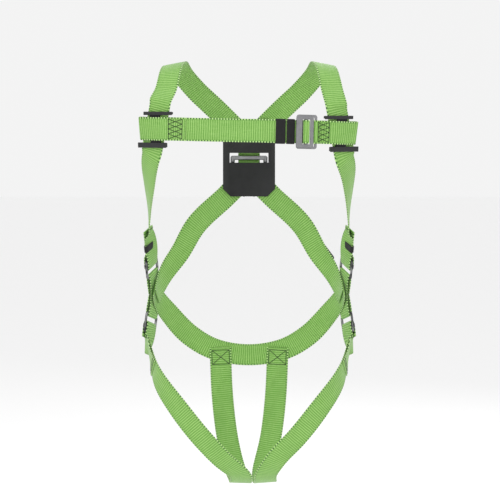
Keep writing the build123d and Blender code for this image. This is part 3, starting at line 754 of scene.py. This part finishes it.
def webbing_material():
    """Ribbed green webbing with a fine twill and dotted selvedges."""
    n = Nodes("webbing")
    uv = n.add("ShaderNodeUVMap", uv_map="weave").outputs[0]
    parts = n.add("ShaderNodeSeparateXYZ")
    n.join(uv, parts.inputs[0])
    across, along = parts.outputs[0], parts.outputs[1]
    wander = n.noise(70.0, 2.0, uv)
    bent = n.math("MULTIPLY_ADD", wander, 0.0022, along)
    rib = n.math("SINE", n.math("MULTIPLY", bent, 2 * math.pi / RIB_PITCH))
    rib = n.math("MULTIPLY_ADD", rib, 0.5, 0.5)
    fine = n.math("SINE", n.math("MULTIPLY", bent, 4 * math.pi / RIB_PITCH))
    slants = [n.math(operation, across, along) for operation in ("ADD", "SUBTRACT")]
    left, right = [n.math("SINE", n.math("MULTIPLY", slant, 2 * math.pi / TWILL_PITCH))
                   for slant in slants]
    twill = n.math("MAXIMUM", left, right)
    from_middle = n.math("ABSOLUTE", n.math("SUBTRACT", across, HALF_M))
    edge = n.ramp(from_middle, HALF_M - 0.0030, HALF_M - 0.0020)
    inner = n.ramp(from_middle, HALF_M - 0.0042, HALF_M - 0.0034)
    loops = n.math("SINE", n.math("MULTIPLY", along, 2 * math.pi / (SCALLOP_PITCH * MM)))
    loops = n.ramp(loops, -0.35, 0.35)
    cloudy = n.noise(28.0, 4.0, uv, (1.0, 0.35, 1.0))
    streaks = n.noise(900.0, 2.0, uv, (1.0, 0.05, 1.0))
    # Painted shade and highlight: the ribs are darker in their grooves and paler on their crests, following
    # the rib bump.
    colour = n.mix(rib, GREEN_DEEP, GREEN)
    colour = n.mix(n.math("MULTIPLY", n.ramp(rib, 0.55, 1.0), 0.50), colour, GREEN_PALE)
    colour = n.mix(n.math("MULTIPLY", n.ramp(twill, -0.2, 0.6), 0.22), colour, GREEN)
    colour = n.mix(n.math("MULTIPLY", n.ramp(cloudy, 0.35, 0.70), 0.30), colour, GREEN_DEEP)
    colour = n.mix(n.math("MULTIPLY", n.ramp(streaks, 0.4, 0.7), 0.18), colour, GREEN_PALE)
    # Painted shade: a band just inside each selvedge is darkened where the groove dips.
    groove = n.math("MULTIPLY", n.math("SUBTRACT", inner, edge), 0.55)
    colour = n.mix(groove, colour, GREEN_DEEP)
    # Painted shade and highlight: the selvedge is pale on each raised weft loop and dark between the loops,
    # in step with the scalloped edge and its bump.
    dotted = n.mix(loops, SELVEDGE_DARK, GREEN_PALE)
    colour = n.mix(edge, colour, dotted)
    n.join(colour, n.shader.inputs["Base Color"])
    height = n.math("MULTIPLY_ADD", rib, 0.8, n.math("MULTIPLY", fine, 0.12))
    height = n.math("MULTIPLY_ADD", twill, 0.14, height)
    height = n.math("MULTIPLY", height, n.math("SUBTRACT", 1.0, edge))
    height = n.math("MULTIPLY_ADD", n.math("MULTIPLY", loops, edge), 1.1, height)
    height = n.math("MULTIPLY_ADD", groove, -0.7, height)
    n.join(n.bump(height, 0.00032), n.shader.inputs["Normal"])
    rough = n.math("MULTIPLY_ADD", rib, -0.12, 0.62)
    n.join(rough, n.shader.inputs["Roughness"])
    n.shader.inputs["Sheen Weight"].default_value = 0.25
    n.shader.inputs["Sheen Roughness"].default_value = 0.4
    n.shader.inputs["Specular IOR Level"].default_value = 0.35
    return n.material


def metal_material(name, colour, rough, metallic, wear=None):
    """Brushed metal, or a dark coating that is worn to `wear` at its edges."""
    n = Nodes(name)
    grain = n.noise(1400.0, 4.0, None, (1.0, 1.0, 0.12))
    blotch = n.noise(90.0, 4.0)
    base = n.mix(n.math("MULTIPLY", n.ramp(blotch, 0.35, 0.7), 0.45), colour,
                 tuple(c * 0.62 for c in colour))
    if wear is not None:
        point = n.add("ShaderNodeNewGeometry").outputs["Pointiness"]
        worn = n.math("MULTIPLY", n.ramp(point, 0.52, 0.60), n.ramp(blotch, 0.40, 0.60))
        base = n.mix(worn, base, wear)
    n.join(base, n.shader.inputs["Base Color"])
    n.join(n.math("MULTIPLY_ADD", grain, 0.22, rough - 0.10), n.shader.inputs["Roughness"])
    n.join(n.bump(grain, 0.00006, 0.7), n.shader.inputs["Normal"])
    n.shader.inputs["Metallic"].default_value = metallic
    return n.material


def plastic_material():
    """Black moulded plastic with paler edges."""
    n = Nodes("moulded_plastic")
    fine = n.noise(2600.0, 2.0)
    broad = n.noise(60.0, 3.0)
    colour = n.mix(n.ramp(broad, 0.3, 0.75), (0.004, 0.004, 0.0045), (0.011, 0.011, 0.012))
    point = n.add("ShaderNodeNewGeometry").outputs["Pointiness"]
    colour = n.mix(n.math("MULTIPLY", n.ramp(point, 0.53, 0.62), 0.5), colour, (0.05, 0.05, 0.053))
    n.join(colour, n.shader.inputs["Base Color"])
    n.join(n.math("MULTIPLY_ADD", broad, 0.2, 0.42), n.shader.inputs["Roughness"])
    n.join(n.bump(fine, 0.00009, 0.8), n.shader.inputs["Normal"])
    n.shader.inputs["Specular IOR Level"].default_value = 0.3
    return n.material


def knitted_material(name, colour, pale, pitch, sheen=0.3):
    """Ribbed cloth that uses the piece's own UVs."""
    n = Nodes(name)
    uv = n.add("ShaderNodeUVMap", uv_map="weave").outputs[0]
    parts = n.add("ShaderNodeSeparateXYZ")
    n.join(uv, parts.inputs[0])
    ribs = n.math("SINE", n.math("MULTIPLY", parts.outputs[0], 2 * math.pi / pitch))
    knots = n.math("SINE", n.math("MULTIPLY", parts.outputs[1], 2 * math.pi / (pitch * 0.8)))
    height = n.math("MULTIPLY_ADD", knots, 0.3, ribs)
    lint = n.noise(1500.0, 3.0, uv)
    # Painted shade and highlight: the cloth is paler on its raised ribs and knots and darker between them,
    # following the bump.
    base = n.mix(n.ramp(height, -0.8, 1.2), colour, pale)
    base = n.mix(n.math("MULTIPLY", n.ramp(lint, 0.62, 0.8), 0.3), base, pale)
    n.join(base, n.shader.inputs["Base Color"])
    n.join(n.bump(height, 0.00022), n.shader.inputs["Normal"])
    n.shader.inputs["Roughness"].default_value = 0.85
    n.shader.inputs["Sheen Weight"].default_value = sheen
    return n.material


def stitch_material():
    n = Nodes("sewing_thread")
    twist = n.noise(2400.0, 2.0)
    colour = n.mix(n.ramp(twist, 0.3, 0.75), (0.006, 0.016, 0.006), (0.020, 0.050, 0.016))
    n.join(colour, n.shader.inputs["Base Color"])
    n.join(n.bump(twist, 0.00010), n.shader.inputs["Normal"])
    n.shader.inputs["Roughness"].default_value = 0.6
    return n.material


def floor_material():
    n = Nodes("studio_paper")
    speck = n.noise(300.0, 3.0)
    n.join(n.mix(speck, (0.965, 0.965, 0.965), (0.985, 0.985, 0.985)), n.shader.inputs["Base Color"])
    n.shader.inputs["Roughness"].default_value = 0.9
    return n.material


webbing = webbing_material()
bright_steel = metal_material("satin_steel", (0.27, 0.27, 0.28), 0.40, 1.0)
dark_steel = metal_material("coated_steel", (0.022, 0.022, 0.025), 0.42, 0.4, (0.35, 0.35, 0.36))
plastic = plastic_material()
elastic = knitted_material("knitted_elastic", (0.003, 0.003, 0.0035), (0.012, 0.012, 0.013), 0.0016, 0.05)
binding = knitted_material("label_binding", (0.008, 0.008, 0.009), (0.035, 0.035, 0.037), 0.0012)
label_cloth = knitted_material("label_cloth", (0.60, 0.61, 0.62), (0.78, 0.79, 0.80), 0.0007)
thread_material = stitch_material()


# ---------------------------------------------------------------- straps
def web_piece(name, sections, node):
    """A woven strap in place of its plain CAD solid."""
    piece = band_mesh(name, Run(sections), WEB_WIDTH / 2, WEB_THICK)
    dress(piece, webbing)
    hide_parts(node)


web_piece("web_chest_right", chest_strap_right(), "chest_strap_right")
web_piece("web_chest_left", chest_strap_left(), "chest_strap_left")
web_piece("web_seat", seat_strap(), "seat_strap")
for side, word in ((1, "left"), (-1, "right")):
    web_piece("web_main_" + word, main_strap(side), "main_strap_" + word)
    web_piece("web_leg_" + word, leg_strap(side), "leg_strap_" + word)
    web_piece("web_hip_" + word, hip_loop(side), "hip_strap_" + word)


# ---------------------------------------------------------------- elastic keepers
KEEPER_ROOM = CLEAR + 0.1    # from the layers inside to the band
KEEPER_ROUND = 1.4           # largest radius of the band's corners


def keeper_run(site, low, high, u):
    """Closed run round the strap at u, the band's width lying along u."""
    half = WEB_WIDTH / 2 + KEEPER_ROOM + KEEPER_WALL / 2
    low = low - KEEPER_ROOM - KEEPER_WALL / 2
    high = high + KEEPER_ROOM + KEEPER_WALL / 2
    round_off = min(KEEPER_ROUND, (high - low) / 2)
    corners = [(half, high, 45), (-half, high, 135), (-half, low, 225), (half, low, 315)]
    sections = []
    for x, y, facing in corners:
        cx = x - math.copysign(round_off, x)
        cy = y - round_off if y == high else y + round_off
        for turn in (-45, -15, 15, 45):
            a = math.radians(facing + turn)
            out = site.v * math.cos(a) + site.h * math.sin(a)
            spot = site.at(u, cx + round_off * math.cos(a), cy + round_off * math.sin(a))
            sections.append((spot, site.u, out))
        if facing in (45, 225):      # a long side follows, and `out` is already square to it
            for part in (0.3, 0.5, 0.7):
                sections.append((site.at(u, x * (1 - 2 * part), y), site.u, out))
    sections.append(sections[0])
    return Run(sections)


def elastic_keeper(name, site, span, low, high, node, body):
    """A knitted band over a keeper, round layers that fill low to high."""
    run = keeper_run(site, low, high, sum(span) / 2)
    piece = band_mesh(name, run, (span[1] - span[0]) / 2, KEEPER_WALL, closed=True, scallop=0.0,
                      columns=14, step=1.2)
    dress(piece, elastic, body)
    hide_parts(node)


for node, body in (("chest_keeper_outer", "keeper_outer"), ("chest_keeper_inner", "keeper_inner")):
    elastic_keeper("band_" + node, chest_site(), CHEST_KEEPERS[node], BASE_LIFT - HALF_WEB,
                   MAIN_LAYER + HALF_WEB, node, body)
for side, word in ((1, "left"), (-1, "right")):
    span = (KEEPER_SPOT - KEEPER_WIDTH / 2, KEEPER_SPOT + KEEPER_WIDTH / 2)
    elastic_keeper("band_side_" + word, hip_site(side, 1), span, BACK_LAYER - HALF_WEB,
                   TAIL_REST + HALF_WEB, "side_keeper_" + word, "side_keeper_" + word)

# ---------------------------------------------------------------- seams
LONG_SEAM = (-156, -129)     # ends of the seams in the chest straps' loops, across the wearer
SHORT_SEAM = (133, 155)
CHEST_SEAM_HALF = 19         # half widths of the seams, across their straps
BOX_HALF = 18
HIP_BOX_HALF = 17
SEAT_BOXES = ((58, 17), (182, 14))   # place across the wearer and half length
LEG_BOX = (35, 5)            # start and end, back from the strap's far end
HIP_BOX_LENGTH = 28
UPPER_BOX_START = 6
LOWER_BOX_START = 36         # back from the strap's far end
TAIL_LINES = [(5, -20, 5, 20), (12, -20, 12, 20)]   # rows across a strap's free end


def chest_seam(name, run, ends, outward=1):
    """A ladder seam between two places across the wearer."""
    start, end = [run.station(0, place) for place in ends]
    stitches(name, run, ladder(start, end, CHEST_SEAM_HALF, 4), outward)


long_strap = chest_strap_right()
turn = int(np.argmin([centre[0] for centre, width, out in long_strap]))
chest_seam("stitch_chest_right", Run(long_strap[:turn + 1]), LONG_SEAM, -1)
chest_seam("stitch_lining_right", Run(long_strap[turn:]), LONG_SEAM, -1)
short_strap = chest_strap_left()
sideways = [centre[0] for centre, width, out in short_strap]
front = short_strap[int(np.argmin(sideways)):int(np.argmax(sideways)) + 1]
chest_seam("stitch_chest_left", Run(front), SHORT_SEAM)
seat = Run(seat_strap())
for side, word in ((1, "left"), (-1, "right")):
    for part, (place, reach) in zip(("seat", "seat_end"), SEAT_BOXES):
        middle = seat.station(0, side * place)
        stitches("stitch_" + part + "_" + word, seat, boxed(middle - reach, middle + reach, BOX_HALF))
    leg = Run(leg_strap(side))
    start, end = [leg.length - back for back in LEG_BOX]
    stitches("stitch_leg_end_" + word, leg, boxed(start, end, BOX_HALF))
    stitches("stitch_leg_tail_" + word, leg, TAIL_LINES)
    hip = Run(hip_loop(side))
    for start, way in ((UPPER_BOX_START, "upper"), (hip.length - LOWER_BOX_START, "lower")):
        stitches("stitch_hip_" + way + "_" + word, hip,
                 boxed(start, start + HIP_BOX_LENGTH, HIP_BOX_HALF))
    stitches("stitch_main_tail_" + word, Run(main_strap(side)), TAIL_LINES)

# ---------------------------------------------------------------- label
PANEL_CELLS = 24             # of a panel's mesh each way


def panel_mesh(name, site, low, high, size, bulge):
    """A rounded cloth panel with a soft edge, its middle bowed outward by bulge."""
    across, tall = size
    columns = rows = PANEL_CELLS
    thick = high - low
    verts = []
    faces = []
    for layer in (0, 1):
        for i in range(rows + 1):
            for j in range(columns + 1):
                a = -1 + 2 * i / rows
                b = -1 + 2 * j / columns
                corner = max(0.0, abs(a) + abs(b) - 1.86) * 8
                u = a * (across / 2 - corner)
                v = b * (tall / 2 - corner)
                bow = bulge * (1 - a * a) * (1 - b * b)
                pinch = 0.25 * thick * max(abs(a), abs(b)) ** 8
                h = (high - pinch if layer else low + pinch) + bow
                verts.append(site.at(u, v, h))
    per = (rows + 1) * (columns + 1)
    for layer in (0, 1):
        for i in range(rows):
            for j in range(columns):
                k = layer * per + i * (columns + 1) + j
                faces.append((k, k + 1, k + columns + 2, k + columns + 1))
    ring = [i * (columns + 1) for i in range(rows + 1)]
    ring += [rows * (columns + 1) + j for j in range(1, columns + 1)]
    ring += [i * (columns + 1) + columns for i in range(rows - 1, -1, -1)]
    ring += [j for j in range(columns - 1, 0, -1)]
    for k, i in enumerate(ring):
        j = ring[(k + 1) % len(ring)]
        faces.append((i, j, j + per, i + per))
    mesh = bpy.data.meshes.new(name)
    mesh.from_pydata([tuple(v) for v in in_row(verts)], [], faces)
    layer = mesh.uv_layers.new(name="weave")
    for loop in mesh.loops:
        away = verts[loop.vertex_index] - site.origin
        layer.data[loop.index].uv = (float(away @ site.u) * MM, float(away @ site.v) * MM)
    fix_outward(mesh)
    return add_piece(name, mesh)


LABEL_ROUND = 3.0            # radius of the label's corners
BINDING_HALF = 1.6


def border_run(site, size, level, inset):
    """Closed run along a panel's edge."""
    u, v = size[0] / 2 - inset, size[1] / 2 - inset
    r = LABEL_ROUND
    sections = []
    for cu, cv, facing in ((u - r, v - r, 0), (-u + r, v - r, 90), (-u + r, -v + r, 180),
                           (u - r, -v + r, 270)):
        for turn in (0, 30, 60, 90):
            a = math.radians(facing + turn)
            out = site.u * math.cos(a) + site.v * math.sin(a)
            sections.append((site.at(cu + r * math.cos(a), cv + r * math.sin(a), level), out, site.h))
    sections.append(sections[0])
    straight = []
    for (start, out, h), (end, _, _) in zip(sections, sections[1:]):
        parts = (0, 0.05, 0.5, 0.95) if np.linalg.norm(end - start) > 2 * r else (0,)
        straight += [(start + (end - start) * f, out, h) for f in parts]
    return Run(straight + [sections[0]])


def label_leaf(name, edge_name, node, size, heights, bulge, border, body):
    """One leaf of the label and its binding. border is the binding's (level, inset, thickness)."""
    low, high = heights
    leaf = panel_mesh(name, label_site(), low, high, size, bulge)
    dress(leaf, label_cloth, body)
    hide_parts(node)
    level, inset, thick = border
    edge = band_mesh(edge_name, border_run(label_site(), size, level, inset), BINDING_HALF, thick,
                     closed=True, scallop=0.0, columns=6, step=1.0)
    dress(edge, binding, body)


COVER_SIZE = (LABEL_SIZE[0] - 4, LABEL_SIZE[1])
label_leaf("label_back", "label_edge", "label_sleeve", LABEL_SIZE, (0.1, 1.0), 0.0,
           (0.5, 1.0, 0.8), "harness")
label_leaf("label_front", "label_front_edge", "label_cover", COVER_SIZE, (1.5, 2.2), 0.6,
           (1.9, 1.8, 0.6), "label_flap")

# ---------------------------------------------------------------- CAD pieces keep their shape
FINISHES = {"dorsal_ring": bright_steel, "chest_buckle": bright_steel, "dorsal_plate": plastic,
            "guide_plate": plastic, "side_adjuster": dark_steel, "leg_buckle": dark_steel}
for name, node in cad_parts.items():
    for start, material in FINISHES.items():
        if name.startswith(start):
            for slot in node.material_slots:
                slot.material = material

# ---------------------------------------------------------------- studio
# Metres from here on.
FLOOR_DROP = 0.55            # the harness hangs this far above the floor
FLOOR_REACH = 20.0
WORLD_STRENGTH = 0.9
# name, place (its height measured from the middle of the object), size and power in watts
LIGHTS = [
    ("key", (-1.5, -3.2, 1.9), (2.4, 2.0), 34),
    ("fill", (2.3, -2.6, 0.6), (2.2, 2.2), 9),
    ("top", (0.0, -0.2, 2.6), (2.6, 2.0), 14),
    ("back", (1.2, 3.0, 1.6), (2.4, 2.0), 22),
]


def backdrop():
    """A broad pale floor; there is no wall, so the object can be seen from every side."""
    floor = cad_box[0][2] - FLOOR_DROP
    corners = [(-FLOOR_REACH, -FLOOR_REACH, floor), (FLOOR_REACH, -FLOOR_REACH, floor),
               (FLOOR_REACH, FLOOR_REACH, floor), (-FLOOR_REACH, FLOOR_REACH, floor)]
    mesh = bpy.data.meshes.new("studio_floor")
    mesh.from_pydata(corners, [], [(0, 1, 2, 3)])
    piece = add_piece("studio_floor", mesh)
    piece.data.materials.append(floor_material())


def area_light(name, spot, aim, size, power):
    data = bpy.data.lights.new(name, "AREA")
    data.shape = "RECTANGLE"
    data.size, data.size_y = size
    data.energy = power
    lamp = bpy.data.objects.new(name, data)
    bpy.context.scene.collection.objects.link(lamp)
    lamp.location = spot
    away = np.array(spot) - np.array(aim)
    lamp.rotation_euler = Vector(away).to_track_quat("Z", "Y").to_euler()


backdrop()
middle = [(a + b) / 2 for a, b in zip(*cad_box)]
for name, (x, y, rise), size, power in LIGHTS:
    area_light(name, (x, y, middle[2] + rise), middle, size, power)
world = bpy.data.worlds.new("studio")
world.use_nodes = True
world.node_tree.nodes["Background"].inputs[0].default_value = (1, 1, 1, 1)
world.node_tree.nodes["Background"].inputs[1].default_value = WORLD_STRENGTH
bpy.context.scene.world = world
bpy.context.scene.view_settings.view_transform = "Standard"

# The camera stands well back from the front of the harness and looks a little down at it.
CAMERA_RANGE = 3.4
CAMERA_RISE_DEG = 5.0
LENS = 121.9
SENSOR = 36.0
AIM = in_row((2, 0, 459))
rise = math.radians(CAMERA_RISE_DEG)
camera_data = bpy.data.cameras.new("camera")
camera_data.lens = LENS
camera_data.sensor_width = SENSOR
camera_data.clip_end = 50
camera = bpy.data.objects.new("camera", camera_data)
bpy.context.scene.collection.objects.link(camera)
offset = np.array([0, -math.cos(rise), math.sin(rise)]) * CAMERA_RANGE
camera.location = AIM + offset
camera.rotation_euler = Vector(offset).to_track_quat("Z", "Y").to_euler()
bpy.context.scene.camera = camera
